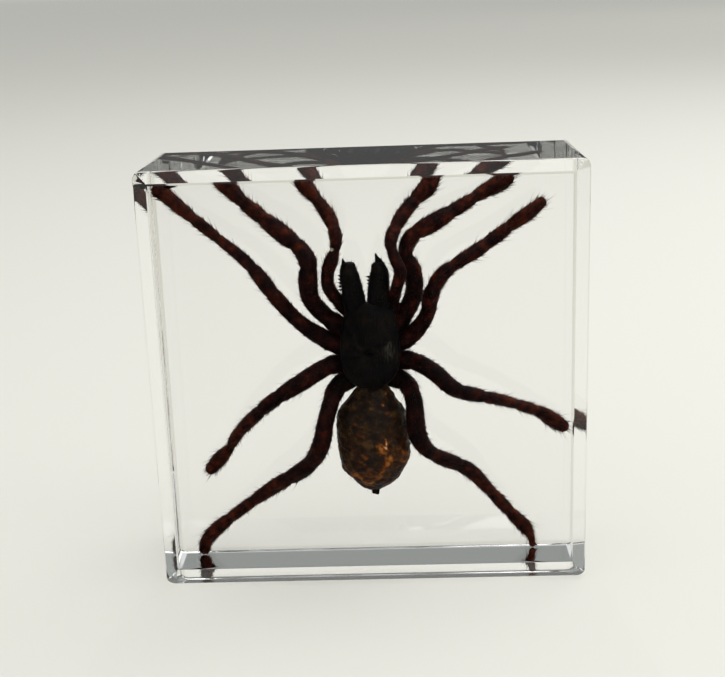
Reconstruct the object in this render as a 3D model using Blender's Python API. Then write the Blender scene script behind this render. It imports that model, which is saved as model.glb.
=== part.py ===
"""A dried tarantula sealed in a clear resin block.

Metres, +Z up. The block stands on its narrow bottom face, whose centre is the origin.
+X runs to the right as seen from the front, and the front face looks along -Y.
"""
import math

import bmesh
import bpy
from mathutils import Matrix, Vector

MM = 0.001

# Block: a square slab with a polished chamfer of one slope round the front face
BLOCK_WIDTH = 75 * MM
BLOCK_HEIGHT = 75 * MM
BLOCK_DEPTH = 25 * MM
CHAMFER_SIDE = 2.6 * MM
CHAMFER_TOP = 2.1 * MM
CHAMFER_BOTTOM = 4.1 * MM
CHAMFER_SLOPE = 0.6
CORNER_RADIUS = 1.5 * MM
CORNER_SEGMENTS = 4
FACE_CORNER_RADIUS = 0.4 * MM

# The back edges are only eased
EASED_WIDTH = 0.7 * MM
EASED_DEPTH = 0.35 * MM

# The resin is cast in two pours, which meet in a plane through the specimen
POUR_PLANE_Y = 1.2 * MM
POUR_GAP = 0.3 * MM
POCKET_GAP = 0.35 * MM

# Body of the specimen: lofts along Z, each row a height, a middle in X and a half width in mm
CARAPACE_PROFILE = (
    (50.3, 0.8, 2.4),
    (49.8, 0.8, 3.1),
    (48.9, 0.7, 3.95),
    (47.2, 0.6, 4.65),
    (44.5, 0.5, 5.05),
    (41.4, 0.5, 5.25),
    (38.4, 0.5, 4.95),
    (36.3, 0.4, 3.95),
    (35.0, 0.4, 2.35),
)
CARAPACE_Y = -0.8
CARAPACE_DEPTH_RATIO = 0.5

HEAD_PROFILE = (
    (50.1, 0.7, 1.9),
    (49.0, 0.7, 2.8),
    (46.5, 0.7, 3.1),
    (44.0, 0.6, 2.6),
    (41.9, 0.6, 1.2),
)
HEAD_Y = -1.9
HEAD_DEPTH_RATIO = 0.65

STERNUM_PROFILE = (
    (47.5, 0.5, 1.5),
    (46.0, 0.5, 2.7),
    (42.0, 0.5, 2.7),
    (38.4, 0.5, 2.0),
    (36.8, 0.5, 0.9),
)
STERNUM_Y = 2.2
STERNUM_DEPTH_RATIO = 0.55

ABDOMEN_PROFILE = (
    (36.1, 0.4, 1.6),
    (34.0, 0.6, 3.15),
    (32.0, 0.4, 4.5),
    (30.0, 0.3, 5.95),
    (26.2, 0.3, 6.3),
    (23.1, 0.6, 6.3),
    (21.6, 0.6, 6.2),
    (19.5, 0.4, 5.6),
    (17.7, 0.6, 4.25),
    (16.1, 0.4, 2.55),
    (15.4, 0.4, 1.2),
)
ABDOMEN_Y = 0.9
ABDOMEN_DEPTH_RATIO = 0.72
BODY_SIDES = 16

# Limbs: joints from the body to the tip, each its X, Y, Z and half thickness in mm
LIMBS = {
    "chelicera_left": (
        (-1.6, -0.2, 47.5, 1.8), (-1.9, -0.6, 50.3, 2.0), (-2.3, -1.0, 53.1, 1.8),
        (-2.7, -1.2, 55.5, 1.6), (-2.8, -1.2, 57.1, 1.2),
    ),
    "chelicera_right": (
        (2.2, -0.2, 47.5, 1.8), (2.2, -0.6, 50.3, 2.0), (2.4, -1.0, 53.1, 1.85),
        (2.5, -1.2, 55.4, 1.6), (2.3, -1.2, 57.0, 1.15),
    ),
    "palp_left": (
        (-1.3, 2.2, 46.5, 1.3), (-3.4, 1.5, 48.2, 1.4), (-5.2, 0.0, 50.7, 1.3), (-6.4, -1.2, 53.4, 1.1),
        (-6.3, -1.9, 56.0, 1.1), (-5.7, -1.6, 57.8, 1.2), (-5.0, -1.2, 59.7, 0.95),
        (-4.8, 0.0, 62.0, 1.1), (-5.8, 2.5, 64.8, 1.2), (-7.9, 5.0, 67.7, 1.1), (-10.1, 7.5, 70.1, 1.4),
        (-11.1, 8.2, 71.8, 1.2),
    ),
    "palp_right": (
        (2.2, 2.0, 46.1, 1.5), (4.2, 1.2, 48.0, 1.3), (4.8, -0.6, 50.5, 1.1), (5.4, -2.5, 53.1, 1.0),
        (6.1, -3.1, 55.8, 1.05), (5.1, -2.5, 58.5, 1.0), (4.6, -1.0, 61.1, 1.05), (6.3, 2.2, 64.3, 1.2),
        (8.7, 5.0, 67.0, 1.2), (11.2, 7.0, 69.2, 1.5), (12.4, 8.0, 71.3, 1.2),
    ),
    "leg_1_left": (
        (-1.3, 2.5, 44.3, 1.5), (-3.9, 1.9, 45.3, 1.85), (-7.1, 0.6, 48.0, 1.65),
        (-9.4, -1.2, 51.0, 1.5), (-9.8, -2.5, 54.5, 1.65), (-9.6, -2.5, 57.6, 1.6),
        (-10.9, -1.2, 60.1, 1.4), (-14.0, 0.6, 62.6, 1.55), (-20.3, 5.0, 67.4, 1.2),
        (-24.1, 8.1, 70.8, 1.5), (-25.6, 9.0, 72.2, 1.3),
    ),
    "leg_1_right": (
        (1.8, 2.4, 43.8, 1.4), (4.5, 2.0, 45.1, 1.85), (6.9, 1.9, 48.0, 1.65), (8.4, 1.5, 51.6, 1.5),
        (8.2, 1.2, 55.4, 1.5), (7.1, 1.5, 58.6, 1.25), (8.4, 1.9, 61.4, 1.4), (12.2, 3.1, 63.5, 1.5),
        (18.1, 6.2, 66.5, 1.1), (20.6, 7.8, 67.9, 1.05), (24.9, 9.4, 69.7, 1.3), (26.5, 9.6, 70.4, 1.1),
    ),
    "leg_2_left": (
        (-1.3, 2.5, 41.4, 1.5), (-3.9, 1.9, 41.8, 1.85), (-8.1, 0.6, 44.1, 1.65),
        (-11.8, -1.2, 47.3, 1.25), (-15.8, -1.9, 52.2, 1.35), (-18.8, 0.0, 56.0, 1.2),
        (-21.8, 2.0, 58.9, 1.0), (-25.6, 4.5, 61.7, 0.95), (-31.8, 8.2, 66.5, 1.15),
        (-35.0, 9.5, 69.0, 1.2),
    ),
    "leg_2_right": (
        (2.2, 2.5, 41.4, 1.5), (4.6, 1.9, 42.1, 1.85), (7.9, 0.6, 44.1, 1.65), (10.5, -1.2, 47.8, 1.25),
        (11.3, -2.5, 51.7, 1.45), (13.3, -1.9, 55.0, 1.25), (16.5, -0.6, 57.1, 1.1),
        (19.9, 1.2, 58.9, 1.2), (25.0, 3.8, 62.2, 1.1), (28.3, 4.8, 64.3, 1.2), (30.6, 5.8, 66.0, 1.0),
    ),
    "leg_3_left": (
        (-1.3, 2.5, 38.8, 1.55), (-3.8, 1.9, 38.7, 1.85), (-7.1, 0.6, 38.6, 1.65),
        (-12.6, -2.5, 35.9, 1.5), (-17.8, -1.2, 32.3, 1.25), (-23.6, 3.8, 26.3, 1.1),
        (-26.0, 6.9, 22.4, 0.9), (-28.0, 8.5, 20.0, 1.3), (-30.0, 9.5, 17.6, 1.2),
    ),
    "leg_3_right": (
        (2.2, 2.5, 39.0, 1.55), (4.6, 1.9, 39.1, 1.85), (7.8, 0.6, 39.2, 1.65), (11.2, -1.9, 37.8, 1.5),
        (15.1, -2.5, 34.4, 1.45), (19.5, -0.6, 32.7, 1.2), (24.5, 2.5, 30.8, 1.0),
        (30.4, 7.0, 27.8, 1.1), (33.0, 8.5, 25.8, 1.35), (35.0, 9.4, 24.3, 1.2),
    ),
    "leg_4_left": (
        (-1.1, 2.5, 36.7, 1.55), (-3.5, 2.2, 35.9, 1.85), (-6.0, 1.0, 34.0, 1.65),
        (-7.8, -1.9, 29.1, 1.45), (-9.0, -1.2, 24.1, 1.6), (-11.8, 1.2, 19.6, 1.5),
        (-18.5, 5.0, 14.7, 1.3), (-24.9, 8.0, 9.6, 1.05), (-29.7, 9.8, 5.5, 1.25),
        (-32.3, 10.3, 2.9, 1.1), (-32.5, 10.3, 1.8, 0.8),
    ),
    "leg_4_right": (
        (2.0, 2.5, 36.9, 1.55), (4.2, 2.2, 36.1, 1.85), (6.7, 1.0, 34.9, 1.65), (7.9, -1.9, 32.1, 1.55),
        (8.3, -1.9, 26.3, 1.65), (10.7, -0.6, 22.2, 1.35), (17.3, 3.8, 17.8, 1.35),
        (21.2, 6.0, 13.2, 1.1), (25.5, 8.6, 7.6, 1.15), (28.0, 9.8, 4.6, 1.25), (29.2, 10.3, 2.8, 0.8),
        (29.6, 10.4, 1.6, 0.7),
    ),
    "spinneret_left": ((0.2, 1.2, 17.0, 0.45), (0.15, 1.2, 15.2, 0.4), (0.1, 1.3, 14.2, 0.3)),
    "spinneret_right": ((0.8, 1.2, 17.0, 0.45), (0.8, 1.2, 15.2, 0.4), (0.75, 1.3, 14.2, 0.3)),
}
LIMB_SIDES = 8
LIMB_STRETCH = 4.0 * MM
TIP_LENGTH = 0.6
TIP_TAPER = 0.6

SMOOTH_ANGLE = 0.7


def clear_scene():
    """Remove every object of the open scene."""
    for old in list(bpy.data.objects):
        bpy.data.objects.remove(old, do_unlink=True)


def principled(name, color, roughness, transmission=0.0, ior=1.5):
    """A Principled material with plain values."""
    material = bpy.data.materials.new(name)
    material.use_nodes = True
    shader = material.node_tree.nodes["Principled BSDF"]
    shader.inputs["Base Color"].default_value = (*color, 1.0)
    shader.inputs["Roughness"].default_value = roughness
    shader.inputs["Metallic"].default_value = 0.0
    shader.inputs["Transmission Weight"].default_value = transmission
    shader.inputs["IOR"].default_value = ior
    return material


def make_object(name, bm, material):
    """Turn a bmesh into a linked object with outward faces."""
    bmesh.ops.recalc_face_normals(bm, faces=bm.faces)
    mesh = bpy.data.meshes.new(name)
    bm.to_mesh(mesh)
    bm.free()
    mesh.materials.append(material)
    made = bpy.data.objects.new(name, mesh)
    bpy.context.scene.collection.objects.link(made)
    return made


def make_helper(made):
    """Mark an object that only cuts or joins another one."""
    made.hide_render = True
    made.display_type = "WIRE"
    return made


def add_boolean(target, tool, operation):
    """Join or cut an object with a helper."""
    modifier = target.modifiers.new(operation.lower() + "_" + tool.name, "BOOLEAN")
    modifier.operation = operation
    modifier.solver = "EXACT"
    modifier.object = tool


def smooth_path(joints):
    """Stations on a smooth curve through the joints; each is a 4D vector of place and radius."""
    knots = [Vector(joint) * MM for joint in joints]
    knots.insert(0, knots[0] * 2 - knots[1])
    knots.append(knots[-1] * 2 - knots[-2])
    path = []
    for before, here, there, after in zip(knots, knots[1:], knots[2:], knots[3:]):
        steps = math.ceil((there - here).to_3d().length / LIMB_STRETCH)
        for step in range(steps):
            t = step / steps
            slope = (there - before) * t
            bend = (before * 2 - here * 5 + there * 4 - after) * t ** 2
            twist = (here * 3 - before - there * 3 + after) * t ** 3
            path.append((here * 2 + slope + bend + twist) / 2)
    path.append(knots[-2])
    return path


def loft(path, sides):
    """Extrude a round cap from station to station of a path."""
    places = [station.to_3d() for station in path]
    radii = [station[3] for station in path]
    last = len(path) - 1
    axes = [(places[min(i + 1, last)] - places[max(i - 1, 0)]).normalized() for i in range(last + 1)]
    bm = bmesh.new()
    start = Matrix.Translation(places[0]) @ axes[0].to_track_quat("Z", "Y").to_matrix().to_4x4()
    bmesh.ops.create_circle(bm, cap_ends=True, segments=sides, radius=radii[0], matrix=start)
    cap = next(iter(bm.faces))
    for i in range(last):
        extruded = bmesh.ops.extrude_face_region(bm, geom=[cap])
        if i > 0:
            bmesh.ops.delete(bm, geom=[cap], context="FACES_ONLY")
        cap = next(part for part in extruded["geom"] if isinstance(part, bmesh.types.BMFace))
        turn = axes[i].rotation_difference(axes[i + 1]).to_matrix().to_4x4()
        size = Matrix.Scale(radii[i + 1] / radii[i], 4)
        move = Matrix.Translation(places[i + 1]) @ turn @ size @ Matrix.Translation(-places[i])
        bmesh.ops.transform(bm, matrix=move, verts=cap.verts)
    return bm


def grow(bm, distance):
    """Push every vertex out along its normal."""
    bmesh.ops.recalc_face_normals(bm, faces=bm.faces)
    bm.normal_update()
    for vert in bm.verts:
        vert.co += vert.normal * distance


def limb(joints):
    """A leg, palp, chelicera or spinneret with a tapered tip."""
    path = smooth_path(joints)
    end = path[-1]
    tip = end.to_3d() + (end - path[-2]).to_3d().normalized() * end[3] * TIP_LENGTH
    path.append(Vector((*tip, end[3] * TIP_TAPER)))
    return loft(path, LIMB_SIDES)


def body_form(profile, middle_y, depth_ratio):
    """A loft along Z that is flattened from front to back."""
    path = [Vector((x, middle_y, z, half_width)) * MM for z, x, half_width in profile]
    bm = loft(path, BODY_SIDES)
    space = Matrix.Translation((0, -middle_y * MM, 0))
    bmesh.ops.scale(bm, vec=(1, depth_ratio, 1), space=space, verts=bm.verts)
    return bm


def specimen_forms():
    """Every form that the specimen is fused from, by name; the carapace comes first."""
    forms = {
        "carapace": body_form(CARAPACE_PROFILE, CARAPACE_Y, CARAPACE_DEPTH_RATIO),
        "head": body_form(HEAD_PROFILE, HEAD_Y, HEAD_DEPTH_RATIO),
        "sternum": body_form(STERNUM_PROFILE, STERNUM_Y, STERNUM_DEPTH_RATIO),
        "abdomen": body_form(ABDOMEN_PROFILE, ABDOMEN_Y, ABDOMEN_DEPTH_RATIO),
    }
    for name, joints in LIMBS.items():
        forms[name] = limb(joints)
    return forms


def fused_specimen(name, material, clearance):
    """The whole specimen as one solid, grown by a clearance."""
    whole = None
    for form_name, bm in specimen_forms().items():
        if clearance:
            grow(bm, clearance)
        if whole is None:
            whole = make_object(name, bm, material)
            continue
        form = make_helper(make_object(name + "_" + form_name, bm, material))
        add_boolean(whole, form, "UNION")
    return whole


def large_face(bm, side):
    """The front (-1) or back (1) face of the slab."""
    return max(bm.faces, key=lambda f: side * f.calc_center_median().y)


def ease_back(bm):
    """Ease the edges round the back face."""
    face = large_face(bm, 1)
    bmesh.ops.translate(bm, vec=(0, -EASED_DEPTH, 0), verts=face.verts)
    bmesh.ops.inset_region(bm, faces=[face], thickness=EASED_WIDTH, use_even_offset=True)
    bmesh.ops.translate(bm, vec=(0, EASED_DEPTH, 0), verts=face.verts)


def chamfer_depth(x, z):
    """How far the chamfer lies behind the front face at a place in its outline."""
    to_side = BLOCK_WIDTH / 2 - abs(x)
    to_top = BLOCK_HEIGHT - z
    return CHAMFER_SLOPE * max(CHAMFER_SIDE - to_side, CHAMFER_TOP - to_top, CHAMFER_BOTTOM - z)


def chamfer_front(bm):
    """Cut the chamfer round the front face."""
    face = large_face(bm, -1)
    for vert in face.verts:
        vert.co.y += chamfer_depth(vert.co.x, vert.co.z)
    inset = CORNER_RADIUS - FACE_CORNER_RADIUS
    bmesh.ops.inset_region(bm, faces=[face], thickness=inset, use_even_offset=True)
    for vert in face.verts:
        side = math.copysign(CHAMFER_SIDE - inset, vert.co.x)
        rise = inset - CHAMFER_TOP if vert.co.z > BLOCK_HEIGHT / 2 else CHAMFER_BOTTOM - inset
        vert.co = Vector((vert.co.x - side, -BLOCK_DEPTH / 2, vert.co.z + rise))


def slab():
    """The whole block: a slab with rounded corners, a chamfered front and an eased back."""
    bm = bmesh.new()
    bmesh.ops.create_cube(bm, size=1.0)
    bmesh.ops.scale(bm, vec=(BLOCK_WIDTH, BLOCK_DEPTH, BLOCK_HEIGHT), verts=bm.verts)
    bmesh.ops.translate(bm, vec=(0, 0, BLOCK_HEIGHT / 2), verts=bm.verts)
    corners = [e for e in bm.edges if abs(e.verts[0].co.y - e.verts[1].co.y) > BLOCK_DEPTH / 2]
    bmesh.ops.bevel(bm, geom=corners, offset=CORNER_RADIUS, offset_type="OFFSET", affect="EDGES",
                    segments=CORNER_SEGMENTS, profile=0.5, material=-1)
    ease_back(bm)
    chamfer_front(bm)
    return bm


def half_slab(keep):
    """The part of the block in front of (-1) or behind (1) the pour plane."""
    bm = slab()
    cut_y = POUR_PLANE_Y + keep * POUR_GAP / 2
    bmesh.ops.bisect_plane(bm, geom=[*bm.verts, *bm.edges, *bm.faces], plane_co=(0, cut_y, 0),
                           plane_no=(0, -keep, 0), clear_outer=True)
    bmesh.ops.holes_fill(bm, edges=[e for e in bm.edges if e.is_boundary])
    return bm


def main():
    """Build the two resin halves and the specimen between them."""
    clear_scene()
    resin = principled("clear_resin", (0.96, 0.97, 0.95), 0.02, transmission=1.0)
    cuticle = principled("dried_cuticle", (0.045, 0.018, 0.012), 0.4)
    specimen = fused_specimen("tarantula", cuticle, 0.0)
    pocket = make_helper(fused_specimen("pocket", cuticle, POCKET_GAP))
    for name, keep in (("resin_front", -1), ("resin_back", 1)):
        half = make_object(name, half_slab(keep), resin)
        add_boolean(half, pocket, "DIFFERENCE")
    specimen.data.shade_smooth()
    specimen.data.set_sharp_from_angle(angle=SMOOTH_ANGLE)


main()
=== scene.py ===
# %% [markdown]
# # A tarantula cast in a clear resin block
#
# The real object is a dried spider that was laid out on its back in a mould, covered with clear
# casting resin in two pours, and then sawn and polished on all sides. Two things make the look.
# One is the block: flat polished faces with a chamfer, so that each edge bends what lies behind it.
# The other is the spider: dark, hairy and wetted by the resin, seen against a bright background.
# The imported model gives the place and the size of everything, so it is loaded first and kept.

# %% Load the frame and keep its box
import math

import bmesh
import bpy
from mathutils import Matrix, Vector, noise


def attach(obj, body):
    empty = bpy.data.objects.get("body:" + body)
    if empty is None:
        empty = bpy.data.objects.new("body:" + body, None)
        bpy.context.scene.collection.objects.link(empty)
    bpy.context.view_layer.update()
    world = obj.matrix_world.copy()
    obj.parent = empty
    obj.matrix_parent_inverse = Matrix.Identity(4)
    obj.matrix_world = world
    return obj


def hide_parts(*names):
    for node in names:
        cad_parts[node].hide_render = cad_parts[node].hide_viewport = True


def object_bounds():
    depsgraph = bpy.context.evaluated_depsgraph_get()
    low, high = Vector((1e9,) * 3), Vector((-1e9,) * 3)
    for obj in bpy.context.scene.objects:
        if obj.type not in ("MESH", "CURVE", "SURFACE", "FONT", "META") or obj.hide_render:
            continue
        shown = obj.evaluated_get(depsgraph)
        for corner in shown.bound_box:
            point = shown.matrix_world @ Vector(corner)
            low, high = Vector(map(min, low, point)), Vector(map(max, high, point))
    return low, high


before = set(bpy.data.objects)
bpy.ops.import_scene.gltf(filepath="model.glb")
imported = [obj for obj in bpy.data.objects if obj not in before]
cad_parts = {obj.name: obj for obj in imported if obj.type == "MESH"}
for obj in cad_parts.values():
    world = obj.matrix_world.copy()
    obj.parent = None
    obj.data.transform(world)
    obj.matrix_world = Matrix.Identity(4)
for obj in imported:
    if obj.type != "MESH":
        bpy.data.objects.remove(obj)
MM = 0.001
CAD_BOX = [list(corner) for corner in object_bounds()]
print("nodes:", sorted(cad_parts))
print("CAD box in mm:", [[round(value / MM, 2) for value in corner] for corner in CAD_BOX])

# %% [markdown]
# ## Helpers for materials
#
# Colours are picked as sRGB hex values, the way a colour picker shows them, but a shader works in
# linear light, so one function converts them. Another adds a node with its settings, its inputs and
# the stops of a ramp, and it serves the hair's Geometry Nodes as well. The inputs are set by a third
# one, which also serves a shader that is there already.

# %% Colour and node helpers


def linear(hex_colour):
    """An sRGB hex colour as linear RGBA."""
    channels = [int(hex_colour[i:i + 2], 16) / 255 for i in (1, 3, 5)]
    return (*[c / 12.92 if c <= 0.04045 else ((c + 0.055) / 1.055) ** 2.4 for c in channels], 1.0)


def feed(tree, node, inputs):
    """Set a node's inputs, by name or by number, to values or to the sockets of other nodes."""
    for key, value in inputs.items():
        if isinstance(value, bpy.types.NodeSocket):
            tree.links.new(value, node.inputs[key])
        else:
            node.inputs[key].default_value = value


def add(tree, kind, inputs=None, stops=(), **settings):
    """Add a node with its settings and inputs. A ramp's stops are pairs of place and colour."""
    made = tree.nodes.new(kind)
    for name, value in settings.items():
        setattr(made, name, value)
    feed(tree, made, inputs or {})
    for _ in stops[2:]:
        made.color_ramp.elements.new(0.5)
    for number, (place, colour) in enumerate(stops):
        made.color_ramp.elements[number].position = place
        made.color_ramp.elements[number].color = linear(colour)
    return made


def new_material(name):
    """A material with its node tree and its Principled shader."""
    made = bpy.data.materials.new(name)
    made.use_nodes = True
    return made, made.node_tree, made.node_tree.nodes["Principled BSDF"]


print("white is", linear("#ffffff"))

# %% [markdown]
# ## The camera
#
# The block is seen from a little above and almost straight on, from about 21 cm. A camera this
# close gives strong perspective, and it fixes which faces show through which, so its place matters
# more than usual. It could be set by eye. Here the angles and the focal length come from matching
# the block's front edges and its refracted back edges, because resin shows both.

# %% Camera
FRAME_SIZE = (725, 677)
FOCAL_PIXELS = 1230.5
SENSOR_WIDTH = 36.0
CAMERA_PLACE = Vector((6.35, -211.2, 102.95)) * MM
CAMERA_TURN = 0.0347
CAMERA_TILT = 0.2791
CAMERA_ROLL = 0.0367

lens = bpy.data.cameras.new("camera")
lens.sensor_width = SENSOR_WIDTH
lens.lens = FOCAL_PIXELS * SENSOR_WIDTH / FRAME_SIZE[0]
lens.clip_start = 5 * MM
camera = bpy.data.objects.new("camera", lens)
aim = Matrix.Rotation(CAMERA_TURN, 4, "Z") @ Matrix.Rotation(math.pi / 2 - CAMERA_TILT, 4, "X")
camera.matrix_world = Matrix.Translation(CAMERA_PLACE) @ aim @ Matrix.Rotation(-CAMERA_ROLL, 4, "Z")
bpy.context.scene.collection.objects.link(camera)
bpy.context.scene.camera = camera
print("lens %.1f mm" % lens.lens)

# %% [markdown]
# ## Floor and light
#
# The floor is a wide pale sheet whose far edge bends up, as a studio sweep does, so that no horizon
# shows. The light is soft: a large panel high on the right of the block, and one far behind it for
# the back of the floor. Light only reaches what lies inside the resin along bent rays, which have
# to hit a light by chance, so the panels are large and the world gives a share too.
# Just above the floor's far edge the world is dark, like the black flag that a photographer of
# glass puts behind the table. The polished top mirrors it, and that is what makes the top face of
# such a block look dark above a bright front. The front face would mirror the floor as a thin veil
# over the dark spider, so a black card lies on the floor before it, and only mirror rays see it.

# %% Floor and card
FLOOR_SIZE = 80.0
FLOOR_STRIPS = 10
FLOOR_DROP = 0.05 * MM
SWEEP_RISE = 1.2
CARD_CORNERS = ((-160, -560), (125, -560), (40, -13), (-40, -13))
HIDDEN_FROM = ("camera", "diffuse", "transmission", "shadow")


def object_from(name, bm, material):
    """Turn a bmesh into an object of the scene with one material."""
    mesh = bpy.data.meshes.new(name)
    bm.to_mesh(mesh)
    bm.free()
    mesh.materials.append(material)
    made = bpy.data.objects.new(name, mesh)
    bpy.context.scene.collection.objects.link(made)
    return made


def pale_floor():
    """A large square of matt pale board just below the block, bent up at its far edge."""
    bm = bmesh.new()
    bmesh.ops.create_grid(bm, x_segments=1, y_segments=FLOOR_STRIPS, size=FLOOR_SIZE / 2)
    bmesh.ops.translate(bm, vec=(0, 0, -FLOOR_DROP), verts=bm.verts)
    far_edge = [vert for vert in bm.verts if vert.co.y > FLOOR_SIZE / 2 - MM]
    bmesh.ops.translate(bm, vec=(0, 0, SWEEP_RISE), verts=far_edge)
    board, tree, shader = new_material("matt_pale_board")
    feed(tree, shader, {"Base Color": linear("#dcdad2"), "Roughness": 0.9})
    made = object_from("floor", bm, board)


def black_card():
    """A card on the floor that keeps the floor's mirror image off the block's front face."""
    bm = bmesh.new()
    bm.faces.new([bm.verts.new((x * MM, y * MM, 0)) for x, y in CARD_CORNERS])
    velvet, tree, shader = new_material("black_velvet_card")
    feed(tree, shader, {"Base Color": linear("#101010"), "Roughness": 1.0, "Specular IOR Level": 0.0})
    made = object_from("black_card", bm, velvet)
    for ray in HIDDEN_FROM:
        setattr(made, "visible_" + ray, False)


pale_floor()
black_card()
print("floor of %d m, card hidden from %d kinds of ray" % (FLOOR_SIZE, len(HIDDEN_FROM)))

# %% Soft panels


def soft_panel(name, place, target, size, power):
    """A large square area light that looks at a point."""
    light = bpy.data.lights.new(name, "AREA")
    light.size = size
    light.energy = power
    made = bpy.data.objects.new(name, light)
    made.location = place
    made.rotation_euler = (Vector(target) - Vector(place)).to_track_quat("-Z", "Y").to_euler()
    bpy.context.scene.collection.objects.link(made)
    print("%s: %.1f m wide, %.0f W" % (name, size, power))


soft_panel("key_panel", place=(0.55, 0.05, 0.85), target=(0.1, 0.0, 0.0), size=1.2, power=9.0)
soft_panel("far_panel", place=(2.4, 2.2, 1.4), target=(1.8, 2.0, 0.0), size=2.0, power=10.0)

# %% World with its dark band
# The stops are heights of the view direction, from 0 at the horizon to 1 straight up.
BAND_BEHIND = 0.4
DARK_BAND = ((0.24, "#666867"), (0.34, "#8e928f"), (0.52, "#929592"), (0.66, "#e0e2e2"))
OPEN_SKY = ((0.2, "#b6b8b6"), (0.32, "#e0e2e2"))
LIGHT_BOUNCES = 24

world = bpy.data.worlds.new("studio")
world.use_nodes = True
bpy.context.scene.world = world
sky = world.node_tree
direction = add(sky, "ShaderNodeTexCoord").outputs["Generated"]
axes = add(sky, "ShaderNodeSeparateXYZ", {0: direction}).outputs
behind = add(sky, "ShaderNodeMapRange", {"Value": axes["Y"], "From Min": 0.0, "From Max": BAND_BEHIND})
band = add(sky, "ShaderNodeValToRGB", {0: axes["Z"]}, DARK_BAND)
around = add(sky, "ShaderNodeValToRGB", {0: axes["Z"]}, OPEN_SKY)
shade = add(sky, "ShaderNodeMix", {"Factor": behind.outputs["Result"], "A": around.outputs["Color"],
                                   "B": band.outputs["Color"]}, data_type="RGBA")
feed(sky, sky.nodes["Background"], {"Color": shade.outputs["Result"]})
bpy.context.scene.view_settings.view_transform = "Standard"
bpy.context.scene.cycles.max_bounces = LIGHT_BOUNCES
bpy.context.scene.cycles.transmission_bounces = LIGHT_BOUNCES
print("world ready, light bounces up to", LIGHT_BOUNCES, "times")

# %% [markdown]
# ## Points and faces in order
#
# Blender's modelling operators leave the points and faces of a mesh in a new order each run. The
# hair is sown face by face, so it would stand in other places each time. Each form is therefore
# sorted by place as soon as its points and faces are made.

# %% Order by place
PLACE_WEIGHTS = (0.31, 0.59, 0.83)


def place_number(place):
    """One number for a place. The odd weights keep two places of a form from sharing it."""
    return sum(weight * value for weight, value in zip(PLACE_WEIGHTS, place))


def sort_by_place(bm):
    """Sort the points and faces of a form by place."""
    bm.verts.sort(key=lambda vert: place_number(vert.co))
    bm.faces.sort(key=lambda face: place_number(face.calc_center_median()))


print("place number of the box's far top corner: %.4f" % place_number(CAD_BOX[1]))

# %% [markdown]
# ## The resin block
#
# The block is 75 mm square and 25 mm deep. Only its front edges have a chamfer, ground at one slope
# and widest at the bottom, so the four flats meet in mitres. The back edges are just eased. Solid
# resin fills every space round the spider, so the visible block is one closed skin with no pocket:
# the glass rule is that a ray changes direction only at a real surface. A cube with bevelled
# corners gives the slab, and its large faces are carried inwards along a profile. Polishing rounds
# every edge a little, and those thin rounds are what catches the light. Only the rounds are shaded
# smooth: a flat face with blended normals would bend what lies behind it. Clear resin lets the
# light of the lamps through, so the block itself casts no shadow and only the spider does.

# %% Block sizes
CHAMFER_SIDE = 2.6
CHAMFER_TOP = 2.1
CHAMFER_BOTTOM = 4.1
CHAMFER_SLOPE = 0.6
CORNER_RADIUS = 1.5
CORNER_SEGMENTS = 12
CORNER_MERGE = 0.001
EASED_WIDTH = 0.7
EASED_DEPTH = 0.35
LIP_RADIUS = 0.2
CURVE_STEPS = 4
OFF_MIDDLE = 0.2 * MM
print("chamfer in mm:", CHAMFER_SIDE, "at the sides,", CHAMFER_BOTTOM, "at the bottom")

# %% Profile and chamfer


def curve(start, corner, end):
    """Points on a small curve that rounds a corner of a profile."""
    spread = [step / CURVE_STEPS for step in range(CURVE_STEPS + 1)]
    return [start * (1 - t) ** 2 + corner * 2 * t * (1 - t) + end * t ** 2 for t in spread]


def large_face(bm, side):
    """The front (-1) or back (1) face, the largest one on its side of the middle."""
    return max(bm.faces, key=lambda f: f.calc_area() * (side * f.calc_center_median().y > OFF_MIDDLE))


def carry_in(bm, face, side, points):
    """Carry a large face along a profile, whose points are an inset and a height in mm."""
    bmesh.ops.translate(bm, vec=(0, side * points[0].y * MM, 0), verts=face.verts)
    for before, after in zip(points, points[1:]):
        step = (after - before) * MM
        bmesh.ops.inset_region(bm, faces=[face], thickness=step.x, use_even_offset=True)
        bmesh.ops.translate(bm, vec=(0, side * step.y, 0), verts=face.verts)


def chamfer_front(bm, low, high):
    """Grind the front chamfer: a round lip, the flats with their mitres, and a second lip."""
    slope = Vector((1, CHAMFER_SLOPE)).normalized() * LIP_RADIUS
    start = Vector((0, 0))
    face = large_face(bm, -1)
    for vert in face.verts:
        x, _, z = vert.co / MM
        side = CHAMFER_SIDE - (high.x / MM - abs(x))
        vert.co.y += CHAMFER_SLOPE * max(side, CHAMFER_TOP - (high.z / MM - z), CHAMFER_BOTTOM - z) * MM
    carry_in(bm, face, -1, curve(Vector((0, -LIP_RADIUS)), start, slope))
    bmesh.ops.inset_region(bm, faces=[face], thickness=CORNER_RADIUS / 2 * MM, use_even_offset=True)
    for vert in face.verts:
        x = math.copysign(high.x / MM - CHAMFER_SIDE + slope.x, vert.co.x)
        upper = vert.co.z > high.z / 2
        z = high.z / MM - CHAMFER_TOP + slope.x if upper else CHAMFER_BOTTOM - slope.x
        vert.co = Vector((x, low.y / MM + slope.y, z)) * MM
    bmesh.ops.remove_doubles(bm, verts=face.verts, dist=CORNER_MERGE * MM)
    face = large_face(bm, -1)
    flat = Vector((LIP_RADIUS, 0))
    points = curve(-slope, start, flat)
    carry_in(bm, face, -1, [point - Vector((0, points[0].y)) for point in points])


print("points on a curve:", len(curve(0, 1, 2)))

# %% Block


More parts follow.
